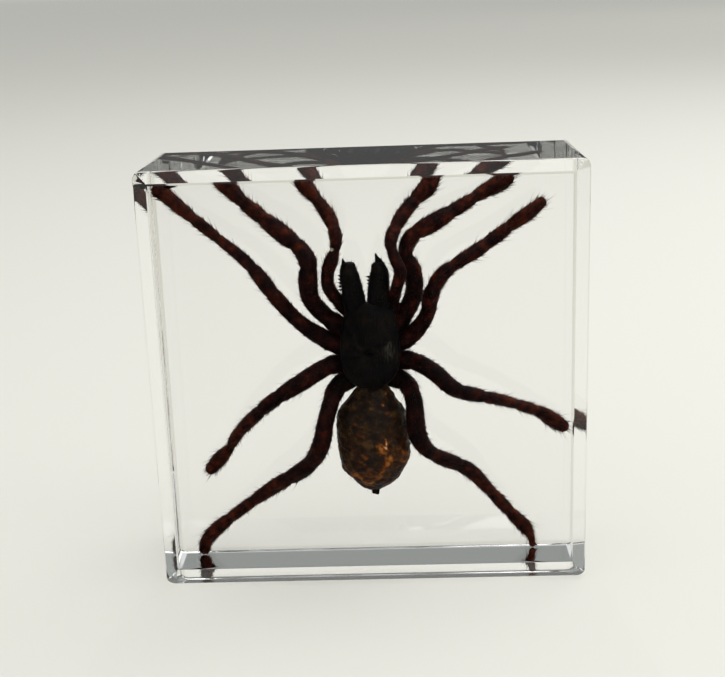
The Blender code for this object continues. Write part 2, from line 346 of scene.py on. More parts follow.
def resin_slab():
    """The block as one closed skin."""
    low, high = (Vector(corner) for corner in CAD_BOX)
    bm = bmesh.new()
    bmesh.ops.create_cube(bm, size=1.0)
    bmesh.ops.scale(bm, vec=high - low, verts=bm.verts)
    bmesh.ops.translate(bm, vec=(low + high) / 2, verts=bm.verts)
    corners = [e for e in bm.edges if abs(e.verts[0].co.y - e.verts[1].co.y) > LIP_RADIUS * MM]
    bmesh.ops.bevel(bm, geom=corners, offset=CORNER_RADIUS * MM, offset_type="OFFSET",
                    affect="EDGES", segments=CORNER_SEGMENTS, profile=0.5, material=-1)
    eased = curve(Vector((0, -EASED_DEPTH)), Vector((0, 0)), Vector((EASED_WIDTH, 0)))
    carry_in(bm, large_face(bm, 1), 1, eased)
    chamfer_front(bm, low, high)
    bmesh.ops.recalc_face_normals(bm, faces=bm.faces)
    sort_by_place(bm)
    return bm


slab = resin_slab()
print("slab:", len(slab.faces), "faces")

# %% [markdown]
# ## Clear casting resin
#
# Unsaturated polyester resin, cast and then polished with fine compound: almost colourless, with a
# refractive index near 1.5, and with the faint waviness that a felt wheel leaves. Absorption is
# weak, about one hundredth over the block's depth, and only tints the long paths inside the edges.

# %% Resin material
RESIN_IOR = 1.5
RESIN_DENSITY = 2.0
WAVE_LENGTH = 14 * MM
WAVE_DEPTH = 0.2 * MM


def clear_casting_resin():
    """Polished clear polyester: sharp reflections with a faint long wave."""
    made, tree, shader = new_material("clear_casting_resin")
    place = add(tree, "ShaderNodeTexCoord").outputs["Object"]
    noisy = add(tree, "ShaderNodeTexNoise", {"Vector": place, "Scale": 1 / WAVE_LENGTH, "Detail": 1.0})
    wave = noisy.outputs["Fac"]
    haze = add(tree, "ShaderNodeMapRange", {"Value": wave, "From Min": 0.4, "From Max": 0.8,
                                            "To Min": 0.0, "To Max": 0.012})
    bump = add(tree, "ShaderNodeBump", {"Height": wave, "Strength": 0.05, "Distance": WAVE_DEPTH})
    feed(tree, shader, {"Base Color": linear("#ffffff"), "Transmission Weight": 1.0, "IOR": RESIN_IOR,
                        "Roughness": haze.outputs["Result"], "Normal": bump.outputs["Normal"]})
    tint = add(tree, "ShaderNodeVolumeAbsorption", {"Color": linear("#f4f4ee"), "Density": RESIN_DENSITY})
    output = next(node for node in tree.nodes if node.type == "OUTPUT_MATERIAL")
    feed(tree, output, {"Volume": tint.outputs["Volume"]})
    return made


RESIN = clear_casting_resin()
print("resin:", len(RESIN.node_tree.nodes), "nodes")

# %% Block as a piece
FLAT_AREA = 50 * MM ** 2


def finished_piece(name, bm, material, slot, *replaced):
    """Turn a bmesh into a smooth piece that rides on the part and hides the parts it stands for; the slot
    is not used.
    """
    made = object_from(name, bm, material)
    made.data.shade_smooth()
    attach(made, "root")
    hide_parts(*replaced)
    print("%-18s %6d triangles" % (name, sum(len(face.vertices) - 2 for face in made.data.polygons)))
    return made


block = finished_piece("resin_block", slab, RESIN, "clear_resin", "resin_front", "resin_back")
for face in block.data.polygons:
    face.use_smooth = face.area < FLAT_AREA
block.visible_shadow = False
print("flats:", sum(not face.use_smooth for face in block.data.polygons))

# %% [markdown]
# ## Lofting the spider's parts
#
# Legs, palps, chelicerae and abdomen are all round forms that follow a line and change their
# thickness on the way. They could be sculpted, or skinned over a skeleton. A loft keeps full
# control: a circle is extruded from station to station, and each station is a matrix that carries
# a unit circle to its place, so the same function makes a bent leg and a flattened body. Each ring
# also stores attributes on its points: the direction of the limb, how close the nearest joint is,
# and how much hair grows there. The materials and the hair read them later.

# %% Stations along a line
DOME_OPENING = 0.3


def smooth_line(points, spacing):
    """Stations along a smooth curve through 4D points, closer together than the spacing, in mm."""
    knots = [Vector(point) for point in points]
    knots.insert(0, knots[0] * 2 - knots[1])
    knots.append(knots[-1] * 2 - knots[-2])
    line = []
    for before, here, there, after in zip(knots, knots[1:], knots[2:], knots[3:]):
        steps = math.ceil((there - here).to_3d().length / spacing)
        for step in range(steps):
            t = step / steps
            slope = (there - before) * t
            bend = (before * 2 - here * 5 + there * 4 - after) * t ** 2
            twist = (here * 3 - before - there * 3 + after) * t ** 3
            line.append((here * 2 + slope + bend + twist) / 2)
    line.append(knots[-2])
    return line


def dome(line, end, steps, depth=1.0):
    """Stations that close one end of a line with a dome, round or flattened by its depth."""
    tip, inner = (line[-1], line[-2]) if end > 0 else (line[0], line[1])
    way = (tip - inner).to_3d().normalized()
    domed = []
    for step in range(1, steps + 1):
        angle = step / (steps + DOME_OPENING) * math.pi / 2
        place = tip.to_3d() + way * tip[3] * math.sin(angle) * depth
        domed.append(Vector((*place, tip[3] * math.cos(angle))))
    return line + domed if end > 0 else domed[::-1] + line


print("stations on a 10 mm line:", len(smooth_line(((0, 0, 0, 1), (0, 0, 10, 1)), 0.5)))

# %% Rings and lofts
POINT_VALUES = ("joint", "fur", "reach", "rust", "mottle_and_sheen")


def ring_matrix(station, turn, flatten=1.0):
    """The matrix that carries a unit circle to its station, in metres."""
    size = Matrix.Diagonal((station[3], station[3] * flatten, 1, 1))
    return Matrix.Scale(MM, 4) @ Matrix.Translation(station.to_3d()) @ turn @ size


def rings(line):
    """The ring matrices of a bent line, and its direction at each station."""
    places = [station.to_3d() for station in line]
    last = len(line) - 1
    ways = [(places[min(i + 1, last)] - places[max(i - 1, 0)]).normalized() for i in range(last + 1)]
    turn = ways[0].to_track_quat("Z", "Y").to_matrix().to_4x4()
    made = [ring_matrix(line[0], turn)]
    for before, way, station in zip(ways, ways[1:], line[1:]):
        turn = before.rotation_difference(way).to_matrix().to_4x4() @ turn
        made.append(ring_matrix(station, turn))
    return made, ways


def loft(matrices, sides):
    """Extrude a unit circle from ring to ring. Returns the bmesh and the points of each ring."""
    bm = bmesh.new()
    layers = bm.verts.layers
    layers.float_vector.new("along")
    for name in POINT_VALUES:
        layers.float.new(name)
    ring = layers.int.new("ring")
    bmesh.ops.create_circle(bm, cap_ends=True, segments=sides, radius=1.0, matrix=matrices[0])
    cap = next(iter(bm.faces))
    for number, (before, after) in enumerate(zip(matrices, matrices[1:]), start=1):
        extruded = bmesh.ops.extrude_face_region(bm, geom=[cap])
        if number > 1:
            bmesh.ops.delete(bm, geom=[cap], context="FACES_ONLY")
        cap = next(part for part in extruded["geom"] if isinstance(part, bmesh.types.BMFace))
        bmesh.ops.transform(bm, matrix=after @ before.inverted(), verts=cap.verts)
        for vert in cap.verts:
            vert[ring] = number
    bmesh.ops.recalc_face_normals(bm, faces=bm.faces)
    sort_by_place(bm)
    bm.normal_update()
    loops = [[] for _ in matrices]
    for vert in bm.verts:
        loops[vert[ring]].append(vert)
    return bm, loops


def join(parts):
    """Put several bmeshes into one, with their attributes."""
    whole = bmesh.new()
    for part in parts:
        mesh = bpy.data.meshes.new("part")
        part.to_mesh(mesh)
        part.free()
        whole.from_mesh(mesh)
        bpy.data.meshes.remove(mesh)
    return whole


print("values on each point:", POINT_VALUES)

# %% [markdown]
# ## Legs and palps
#
# A spider's leg has seven segments: coxa, trochanter, femur, patella, tibia, metatarsus and
# tarsus. They are stiff tubes with a soft, paler joint between them, where the leg is pinched.
# The palps are small legs without a metatarsus. The lines below run from inside the body to the
# tip, and each point has a half thickness. Each joint is a share of the leg's length and the share
# of the thickness that it is pinched by. At the left palp's joint the skin is torn and shows pale.
# Drying leaves fine lengthwise wrinkles, so the noise that moves the points is stretched along the
# limb. Two bald stripes run along the top of the patella and tibia, as on many tarantulas.

# %% Lines of the legs and palps
LEGS = {
    "leg_1_left": (
        (-1.3, 2.5, 44.3, 1.5), (-3.9, 1.9, 45.2, 1.8), (-7.2, 0.6, 47.9, 1.55),
        (-9.4, -1.2, 51.0, 1.5), (-9.8, -2.5, 54.5, 1.65), (-9.6, -2.5, 57.6, 1.6),
        (-10.9, -1.2, 60.1, 1.4), (-14.0, 0.6, 62.6, 1.55), (-20.3, 5.0, 67.4, 1.2),
        (-24.1, 8.1, 70.8, 1.5), (-25.6, 9.0, 72.2, 1.3),
    ),
    "leg_1_right": (
        (1.8, 2.4, 43.8, 1.4), (4.5, 2.0, 45.1, 1.85), (6.9, 1.9, 48.0, 1.65), (8.4, 1.5, 51.6, 1.5),
        (8.2, 1.2, 55.4, 1.5), (7.1, 1.5, 58.6, 1.25), (8.4, 1.9, 61.4, 1.4), (12.2, 3.1, 63.5, 1.5),
        (18.1, 6.2, 66.5, 1.1), (20.6, 7.8, 67.8, 1.15), (24.0, 9.4, 69.3, 1.45), (25.1, 9.6, 69.9, 1.2),
    ),
    "leg_2_left": (
        (-1.3, 2.5, 41.4, 1.5), (-3.9, 1.9, 41.8, 1.85), (-8.1, 0.6, 44.1, 1.65),
        (-11.8, -1.2, 47.3, 1.25), (-15.8, -1.9, 52.2, 1.35), (-18.8, 0.0, 56.0, 1.2),
        (-21.8, 2.0, 58.9, 1.0), (-25.6, 4.5, 61.7, 0.95), (-31.8, 8.2, 66.5, 1.15),
        (-34.6, 9.5, 68.8, 1.25), (-36.0, 9.9, 69.6, 1.2),
    ),
    "leg_2_right": (
        (2.2, 2.5, 41.4, 1.5), (4.6, 1.9, 42.1, 1.85), (7.9, 0.6, 44.1, 1.65), (10.5, -1.2, 47.8, 1.25),
        (11.3, -2.5, 51.7, 1.45), (13.3, -1.9, 55.0, 1.25), (16.5, -0.6, 57.1, 1.1),
        (19.9, 1.2, 58.9, 1.2), (25.0, 3.8, 62.2, 1.1), (28.3, 4.8, 64.3, 1.2), (30.6, 5.8, 66.0, 1.0),
    ),
    "leg_3_left": (
        (-1.3, 2.5, 38.8, 1.55), (-3.8, 1.9, 38.7, 1.85), (-7.1, 0.6, 38.6, 1.65),
        (-12.6, -2.5, 35.9, 1.5), (-17.8, -1.2, 32.3, 1.25), (-23.6, 3.8, 26.3, 1.1),
        (-26.0, 6.9, 22.4, 0.9), (-28.0, 8.5, 20.0, 1.3), (-30.0, 9.5, 17.6, 1.2),
    ),
    "leg_3_right": (
        (2.2, 2.5, 39.0, 1.55), (4.6, 1.9, 39.1, 1.85), (7.8, 0.6, 39.2, 1.65), (11.2, -1.9, 37.8, 1.5),
        (15.1, -2.5, 34.4, 1.45), (19.5, -0.6, 32.7, 1.2), (24.5, 2.5, 30.8, 1.0),
        (30.4, 7.0, 27.8, 1.1), (33.0, 8.5, 25.8, 1.35), (35.0, 9.4, 24.3, 1.2),
    ),
    "leg_4_left": (
        (-1.1, 2.5, 36.7, 1.55), (-3.5, 2.2, 35.9, 1.85), (-6.0, 1.0, 34.0, 1.65),
        (-7.8, -1.9, 29.1, 1.45), (-9.0, -1.2, 24.1, 1.6), (-11.8, 1.2, 19.6, 1.5),
        (-18.5, 5.0, 14.7, 1.3), (-24.9, 8.0, 9.6, 1.05), (-29.7, 9.8, 5.5, 1.25),
        (-32.0, 10.3, 2.8, 1.15), (-32.5, 10.3, 1.17, 1.1),
    ),
    "leg_4_right": (
        (2.0, 2.5, 36.9, 1.55), (4.2, 2.2, 36.1, 1.85), (6.7, 1.0, 34.9, 1.65), (7.9, -1.9, 32.1, 1.55),
        (8.3, -1.9, 26.3, 1.65), (10.7, -0.6, 22.2, 1.35), (17.3, 3.8, 17.8, 1.35),
        (21.2, 6.0, 13.2, 1.1), (25.5, 8.6, 7.6, 1.15), (28.0, 9.8, 4.6, 1.25), (29.2, 10.3, 2.4, 0.75),
        (29.6, 10.4, 0.67, 0.6),
    ),
}
PALPS = {
    "palp_left": (
        (-1.3, 2.2, 46.5, 1.3), (-3.2, 1.5, 48.3, 1.2), (-5.0, 0.0, 50.8, 1.15), (-6.4, -1.2, 53.4, 1.1),
        (-6.3, -1.9, 56.0, 1.1), (-5.7, -1.6, 57.8, 1.2), (-5.0, -1.2, 59.7, 0.95),
        (-4.8, 0.0, 62.0, 1.1), (-5.8, 2.5, 64.8, 1.2), (-7.9, 5.0, 67.7, 1.1), (-10.1, 7.5, 70.1, 1.4),
        (-11.1, 8.2, 71.8, 1.2),
    ),
    "palp_right": (
        (2.2, 2.2, 46.3, 1.3), (4.2, 1.2, 48.0, 1.3), (4.8, -0.6, 50.5, 1.1), (5.4, -2.5, 53.1, 1.0),
        (6.1, -3.1, 55.8, 1.05), (5.1, -2.5, 58.5, 1.0), (4.6, -1.0, 61.1, 1.05), (6.3, 2.2, 64.3, 1.2),
        (8.7, 5.0, 67.0, 1.2), (11.2, 7.0, 69.2, 1.5), (12.4, 8.0, 71.3, 1.2),
    ),
}
LEG_JOINTS = ((0.10, 0.0), (0.15, 0.04), (0.41, 0.09), (0.53, 0.13), (0.71, 0.1), (0.83, 0.14))
PALP_JOINTS = ((0.10, 0.0), (0.17, 0.04), (0.48, 0.1), (0.62, 0.12), (0.82, 0.14))
print("joints:", len(LEG_JOINTS), "in a leg and", len(PALP_JOINTS), "in a palp")

# %% Limb line
RING_SPACING = 0.36
PINCH_REACH = 0.5
SWELL = 0.07
SOUND_JOINT = 0.3
TORN_JOINT = Vector((-5.1, 59.8))
TEAR_REACH = 1.6
ROUNDING = 1e-6
LIMB_TIP_RINGS = 5


def bell(distance, width=1.0):
    """A smooth bump of height 1 that falls off over the width."""
    return math.exp(-(distance / width) ** 2)


def travelled(line):
    """Distance from the start to each station, in mm."""
    total = 0.0
    made = [0.0]
    for here, there in zip(line, line[1:]):
        total += (there - here).to_3d().length
        made.append(total)
    return made


def shaped_limb(points, joints):
    """The limb's line, how near each station is to a joint, the joints' places, and the way there."""
    line = smooth_line(points, RING_SPACING)
    way = travelled(line)
    ends = [share * way[-1] for share, _ in joints]
    bounds = [0.0] + ends + [way[-1]]
    nearness = []
    for station, here in zip(line, way):
        nears = [bell(here - end, PINCH_REACH) for end in ends]
        pinch = max(near * depth for near, (_, depth) in zip(nears, joints))
        start, stop = next((a, b) for a, b in zip(bounds, bounds[1:]) if here <= b + ROUNDING)
        share = (here - start) / (stop - start)
        station[3] *= (1 - pinch) * (1 - SWELL / 2 + SWELL * math.sin(math.pi * share))
        torn = bell((station.xz - TORN_JOINT).length, TEAR_REACH)
        nearness.append(max(nears) * (SOUND_JOINT + (1 - SOUND_JOINT) * torn))
    domed = dome(line, 1, LIMB_TIP_RINGS)
    return domed, nearness + [0.0] * (len(domed) - len(line)), bounds, way


print("first leg: %.1f mm long" % travelled(smooth_line(LEGS["leg_1_left"], RING_SPACING))[-1])

# %% Limb skin
DORSAL = Vector((0, -1, 0))
STRIPE_ANGLE = 0.5
STRIPE_WIDTH = 0.17
STRIPE_BALDNESS = 0.8
JOINT_BALDNESS = 0.85
ROOT_HAIR = 0.5
TEAR_MIDDLE = 0.5
TEAR_ASIDE = 0.6
FINE_GRAIN = 0.42
FINE_SHARE = 0.5
FINE_SHIFT = Vector((7, 3, 5))
TINY = 1e-9


def set_limb_attributes(bm, loops, ways, nearness, bald, shares):
    """Store the limb's direction, torn joints, hair, and the rust colour that grows to its tip."""
    along = bm.verts.layers.float_vector["along"]
    joint = bm.verts.layers.float["joint"]
    fur = bm.verts.layers.float["fur"]
    reach = bm.verts.layers.float["reach"]
    rust = bm.verts.layers.float["rust"]
    for loop, way, near, stripes, share in zip(loops, ways, nearness, bald, shares):
        centre = sum((vert.co for vert in loop), Vector()) / len(loop)
        up = (DORSAL - way * DORSAL.dot(way)).normalized()
        growth = ROOT_HAIR + (1 - ROOT_HAIR) * share
        for vert in loop:
            out = vert.co - centre
            angle = out.angle(up, 0.0) if out.length > TINY else 0.0
            stripe = bell(angle - STRIPE_ANGLE, STRIPE_WIDTH) if stripes else 0.0
            torn_side = TEAR_MIDDLE - TEAR_ASIDE * out.x / max(out.length, TINY)
            vert[along] = way
            vert[joint] = near * max(0.0, min(1.0, torn_side))
            vert[rust] = share
            vert[fur] = (1 - JOINT_BALDNESS * near) * (1 - STRIPE_BALDNESS * stripe) * growth
            vert[reach] = growth


def wrinkle(bm, height, grain, stretch=0.0):
    """Move the points along their normals by noise, in mm, stretched along the limb's direction."""
    along = bm.verts.layers.float_vector["along"]
    bm.normal_update()
    for vert in bm.verts:
        place = vert.co / MM
        if stretch:
            place = place - vert[along] * place.dot(vert[along]) * stretch
        coarse = noise.noise(place / grain)
        fine = noise.noise(place / (grain * FINE_GRAIN) + FINE_SHIFT)
        vert.co += vert.normal * height * MM * (coarse + FINE_SHARE * fine)


print("hair at a limb's root: %.0f%% of that at its tip" % (ROOT_HAIR * 100))

# %% Limbs and spines
LIMB_SIDES = 20
PATELLA_START = 3
TIBIA_END = 5
PLAIN_TIP_RINGS = 4
SPINE_SIDES = 8
SPINE_MIDDLE = 0.6
SPINE_POINT = 0.12
CLAW_TUFT = ((-35.6, 9.9, 70.2), (-30.2, 9.9, 71.2), 0.7)


def limb(points, joints):
    """A leg or a palp with segments, joints, bald stripes and wrinkles."""
    line, nearness, bounds, way = shaped_limb(points, joints)
    matrices, ways = rings(line)
    bm, loops = loft(matrices, LIMB_SIDES)
    way = way + [way[-1]] * (len(line) - len(way))
    shares = [here / way[-1] for here in way]
    bald = [bounds[PATELLA_START] < here < bounds[TIBIA_END] for here in way]
    set_limb_attributes(bm, loops, ways, nearness, bald, shares)
    wrinkle(bm, height=0.05, grain=0.55, stretch=0.75)
    return bm


def plain_limb(points, sides, height=0.04, spacing=0.3, depth=1.0):
    """A tapered form with a dome at its tip and the attributes of a limb."""
    line = dome(smooth_line(points, spacing), 1, PLAIN_TIP_RINGS, depth)
    matrices, ways = rings(line)
    bm, loops = loft(matrices, sides)
    none = [0.0] * len(line)
    set_limb_attributes(bm, loops, ways, none, none, none)
    if height:
        wrinkle(bm, height, grain=0.5, stretch=0.6)
    return bm


def spine(start, end, radius):
    """A short stout spine or a wedge of hair, from its root to its point."""
    root, point = Vector(start), Vector(end)
    middle = root.lerp(point, 0.5)
    stations = [(*root, radius), (*middle, radius * SPINE_MIDDLE), (*point, radius * SPINE_POINT)]
    return plain_limb(stations, SPINE_SIDES, height=0, spacing=0.2)


leg_forms = {name: limb(points, LEG_JOINTS) for name, points in LEGS.items()}
leg_forms["claw_tuft"] = spine(*CLAW_TUFT)
palp_forms = {name: limb(points, PALP_JOINTS) for name, points in PALPS.items()}
print("limbs:", len(LEGS), "legs and", len(PALPS), "palps")

# %% [markdown]
# ## Carapace
#
# The front body is covered by one shield. It is highest at the head, which is set off from the rest
# by a V-shaped groove, and it has a small pit in the middle, the fovea, from which shallow grooves
# run to the legs. The shield is a flattened loft along the body's length, and the grooves are moved
# into its dense mesh with smooth falloffs, which keeps it one closed skin.

# %% Carapace relief
HEAD = Vector((0.65, 46.0))
HEAD_SIZE = Vector((3.05, 4.15))
HEAD_HEIGHT = 1.05
HEAD_STEEPNESS = 9
NECK_PLACE = 1.12
NECK_WIDTH = 0.14
NECK_DEPTH = 0.22
NECK_TOP = 48
FOVEA = Vector((0.45, 41.3))
FOVEA_SIZE = (0.9, 0.35)
FOVEA_DEPTH = 0.5
GROOVE_ENDS = ((4.7, 43.95), (5.3, 40.9), (4.7, 38.05), (2.4, 36.0))
GROOVE_WIDTH = 0.3
GROOVE_DEPTH = 0.16
EYE_HILL = Vector((0.75, -3.2, 48.95))
EYE_HILL_WIDTH = 0.9
EYE_HILL_HEIGHT = 0.4


def line_distance(point, start, end):
    """Distance from a 2D point to a line segment."""
    span = end - start
    share = max(0.0, min(1.0, (point - start).dot(span) / span.length_squared))
    return (point - start - span * share).length


def sizes_away(x, z, centre, size):
    """Distance from a centre, counted in sizes, so that it is 1 on the ellipse of that size."""
    return Vector(((x - centre[0]) / size[0], (z - centre[1]) / size[1])).length


def carapace_relief(x, z):
    """Height of the shield's relief over its plain dome, in mm."""
    spot = Vector((x, z))
    from_head = sizes_away(x, z, HEAD, HEAD_SIZE)
    height = HEAD_HEIGHT / (1 + math.exp((from_head - 1.0) * HEAD_STEEPNESS))
    height -= NECK_DEPTH * bell(from_head - NECK_PLACE, NECK_WIDTH) * (z < NECK_TOP)
    height -= FOVEA_DEPTH * bell(sizes_away(x, z, FOVEA, FOVEA_SIZE))
    for side in (-1, 1):
        for end_x, end_z in GROOVE_ENDS:
            end = Vector((FOVEA.x + side * end_x, end_z))
            height -= GROOVE_DEPTH * bell(line_distance(spot, FOVEA, end), GROOVE_WIDTH)
    return height + EYE_HILL_HEIGHT * bell((spot - EYE_HILL.xz).length, EYE_HILL_WIDTH)


print("relief at the fovea: %.2f mm" % carapace_relief(*FOVEA))

# %% Carapace
CARAPACE_PROFILE = (
    (0.75, 0, 49.75, 3.04), (0.65, 0, 48.94, 3.95), (0.55, 0, 47.21, 4.66), (0.45, 0, 44.46, 5.07),
    (0.45, 0, 41.41, 5.27), (0.45, 0, 38.36, 4.97), (0.35, 0, 36.32, 3.95), (0.35, 0, 35, 2.33),
)
CARAPACE_Y = -0.8
CARAPACE_FLATTEN = 0.5
CARAPACE_SIDES = 96
BODY_END_RINGS = 6
BODY_END_DEPTH = 0.2
TAILWARD = Vector((0, 0, -1))
# Painted sheen: the patch on the right of the shield where grey-olive streaks stand in for its
# reflection.
PAINTED_SHEEN = Vector((3.7, 41.8))
PAINTED_SHEEN_SIZE = (1.8, 2.8)


def set_body_attributes(bm, fur_amount):
    """Give a body part hair that points to the tail, in one amount, and no joints."""
    along = bm.verts.layers.float_vector["along"]
    fur = bm.verts.layers.float["fur"]
    reach = bm.verts.layers.float["reach"]
    for vert in bm.verts:
        vert[along] = TAILWARD
        vert[fur] = fur_amount
        vert[reach] = 1.0


def body_loft(profile, middle_y, flatten, sides, spacing=0.3):
    """A flattened loft along the body, closed by a dome at both ends."""
    line = smooth_line(profile, spacing)
    for end in (1, -1):
        line = dome(line, end, BODY_END_RINGS, BODY_END_DEPTH)
    for station in line:
        station[1] = middle_y
    bm, _ = loft([ring_matrix(station, Matrix.Identity(4), flatten) for station in line], sides)
    return bm


def carapace():
    """The shield with its head, fovea and grooves, and the place of its painted sheen."""
    bm = body_loft(CARAPACE_PROFILE, CARAPACE_Y, CARAPACE_FLATTEN, CARAPACE_SIDES)
    set_body_attributes(bm, 0.3)
    mottle_and_sheen = bm.verts.layers.float["mottle_and_sheen"]
    for vert in bm.verts:
        x, z = vert.co.x / MM, vert.co.z / MM
        facing = max(0.0, -vert.normal.y)
        vert.co.y -= carapace_relief(x, z) * facing * MM
        # Painted sheen: the patch of streaks that stands in for the shield's reflection on its right
        # side.
        vert[mottle_and_sheen] = bell(sizes_away(x, z, PAINTED_SHEEN, PAINTED_SHEEN_SIZE))
    wrinkle(bm, height=0.035, grain=0.6)
    return bm


carapace_form = carapace()
print("carapace:", len(carapace_form.faces), "faces")

# %% [markdown]
# ## Abdomen
#
# The abdomen has no hard shield. It shrinks as it dries, so it is wrinkled and sunken between
# lumps, and the resin makes it look wet. Its mottles are streaks where the hair has rubbed off and
# amber skin shows. A few short pale lines among them are painted glints, highlights painted into
# the colour. They all sit on ridges, so the same lines raise the ridges and paint them.

# %% Abdomen lines
ABDOMEN_PROFILE = (
    (0.45, 0, 36.02, 1.62), (0.6, 0, 33.98, 3.14), (0.4, 0, 32.05, 4.51), (0.24, 0, 30.01, 5.93),
    (0.3, 0, 26.15, 6.29), (0.55, 0, 23.09, 6.29), (0.6, 0, 21.57, 6.19), (0.35, 0, 19.53, 5.58),
    (0.55, 0, 17.7, 4.26), (0.35, 0, 16.07, 2.54), (0.35, 0, 15.36, 1.22),
)
ABDOMEN_Y = 0.9
ABDOMEN_FLATTEN = 0.72
ABDOMEN_SIDES = 150
AMBER_STREAKS = (
    ((-3.2, 18.9), (-0.6, 16.7), 0.55, 0.7), ((3.4, 21.8), (2.5, 20.4), 0.5, 0.9),
    ((2.5, 20.4), (0.9, 18.1), 0.6, 0.8), ((0.9, 18.1), (-0.1, 16.8), 0.55, 0.75),
    ((-1.8, 19.4), (1.1, 18.2), 1.5, 0.35), ((2.2, 22.6), (2.9, 21.9), 0.4, 0.7),
    ((-1.6, 18.4), (0.7, 18.6), 0.6, 0.6), ((5.1, 23.5), (6.3, 22.0), 0.5, 0.6),
    ((5.1, 21.4), (6.0, 20.7), 0.4, 0.5), ((1.4, 24.3), (2.3, 23.0), 0.65, 0.9),
    ((-3.5, 24.1), (-3.0, 23.2), 0.5, 0.4), ((-1.6, 22.7), (-0.9, 22.5), 0.6, 0.55),
    ((-1.6, 21.3), (-0.9, 20.9), 0.45, 0.5), ((-2.3, 26.7), (-1.2, 26.2), 0.45, 0.45),
    ((-2.8, 28.5), (-0.1, 27.4), 0.25, 0.5), ((4.6, 29.0), (2.7, 26.8), 0.25, 0.35),
    ((3.0, 30.6), (3.3, 30.3), 0.3, 0.4),
)
# Painted glints: short pale lines that stand in for highlights on the wet skin.
PAINTED_GLINTS = (
    ((2.7, 25.6), (2.8, 24.8), 0.16, 1.3), ((2.8, 24.8), (2.6, 23.9), 0.26, 1.5),
    ((2.3, 31.7), (2.4, 31.6), 0.22, 1.0), ((2.9, 33.6), (2.9, 33.5), 0.16, 1.2),
)
print("streaks:", len(AMBER_STREAKS), "amber and", len(PAINTED_GLINTS), "pale")

# %% Abdomen
BROWN_BELOW = 29.0
BROWN_FADE = 4
BROWN_AMOUNT = 0.2
DARK_MIDDLE = 0.7
DARK_WIDTH = 0.9
DARK_SHARE = 0.9
FRONT_NORMAL = 0.3
WOBBLES = ((0.9, 0.9), (0.9, 0.4))
RUBBED_OFF = 0.9
RUBBED_GAIN = 1.5
LUMP_HEIGHT = 0.16
RIDGE_HEIGHT = 0.14
RIDGES_PER_MM = (0.5, 0.6, 1.1)


def streak_amount(x, z, wobble):
    """How strong the strongest streak or painted glint is at a place. The wobble roughens its edge."""
    amount = 0.0
    for head, tail, width, strength in AMBER_STREAKS + PAINTED_GLINTS:
        distance = line_distance(Vector((x, z)), Vector(head), Vector(tail)) / width + wobble
        amount = max(amount, strength * bell(max(distance, 0.0)))
    return amount


def abdomen():
    """The shrunken, wrinkled rear body, with its mottles and painted glints stored as an attribute."""
    bm = body_loft(ABDOMEN_PROFILE, ABDOMEN_Y, ABDOMEN_FLATTEN, ABDOMEN_SIDES, spacing=0.18)
    set_body_attributes(bm, 0.12)
    mottle_and_sheen = bm.verts.layers.float["mottle_and_sheen"]
    fur = bm.verts.layers.float["fur"]
    for vert in bm.verts:
        x, y, z = (value / MM for value in vert.co)
        brown = max(0.0, min(1.0, (BROWN_BELOW - z) / BROWN_FADE))
        amount = BROWN_AMOUNT * (brown * (1 - DARK_SHARE * bell(x - DARK_MIDDLE, DARK_WIDTH)))
        if vert.normal.y < FRONT_NORMAL:
            wobble = sum(share * noise.noise(vert.co / MM / size) for share, size in WOBBLES)
            amount = max(amount, streak_amount(x, z, wobble))
        vert[mottle_and_sheen] = amount
        vert[fur] *= 1 - RUBBED_OFF * min(1.0, amount * RUBBED_GAIN)
        waves = Vector((x * RIDGES_PER_MM[0], y * RIDGES_PER_MM[1], z * RIDGES_PER_MM[2]))
        ridge = 1 - abs(noise.noise(waves) * 2)
        vert.co += vert.normal * MM * (LUMP_HEIGHT * min(amount, 1.0) + RIDGE_HEIGHT * ridge)
    wrinkle(bm, height=0.2, grain=1.5)
    wrinkle(bm, height=0.05, grain=0.4)
    return bm


abdomen_form = abdomen()
print("abdomen:", len(abdomen_form.faces), "faces")

# %% [markdown]
# ## Chelicerae, fangs, eyes, spinnerets and underside
#
# The two chelicerae carry the fangs, which fold under them and don't show from the front. Short
# stout spines stand on their ends and along one edge of each. The eyes sit on a small hill at the
# front edge of the shield. The spinnerets are two short fingers at the rear, with two smaller ones
# beside them. The underside has a sternum plate between the bases of the legs, and a lip in front
# of it.

# %% Lines of the small body parts
CHELICERAE = (
    ((-1.6, -0.25, 47.5, 1.8), (-2.0, -0.6, 50.25, 2.02), (-2.35, -1.0, 53.1, 1.8),
     (-2.75, -1.25, 55.55, 1.6), (-2.8, -1.25, 57.1, 1.2)),
    ((2.15, -0.25, 47.5, 1.8), (2.2, -0.6, 50.25, 2.02), (2.35, -1.0, 53.1, 1.85),
     (2.5, -1.25, 55.45, 1.6), (2.3, -1.25, 57.0, 1.15)),
)
JAW_SPINES = (
    ((-3.5, -1.3, 57.0), (-3.75, -1.3, 58.2), 0.5), ((2.6, -1.3, 56.9), (1.9, -1.3, 58.9), 0.75),
    ((3.1, -1.3, 56.9), (2.7, -1.3, 58.1), 0.4),
)
BRISTLE_ROWS = ((-4.15, -4.68, 52.6), (0.75, 0.27, 52.3))
BRISTLES_IN_ROW = 5
BRISTLE_STEP = 0.62
BRISTLE_Y = -1.1
BRISTLE_RISE = 0.15
BRISTLE_RADIUS = 0.28
FANG = ((0, 0.2, 56.5, 0.75), (0, 1.6, 56.4, 0.62), (0, 2.5, 55.0, 0.48), (0, 2.7, 53.3, 0.32),
        (0, 2.4, 51.8, 0.12))
FANG_X = (-2.7, 2.4)
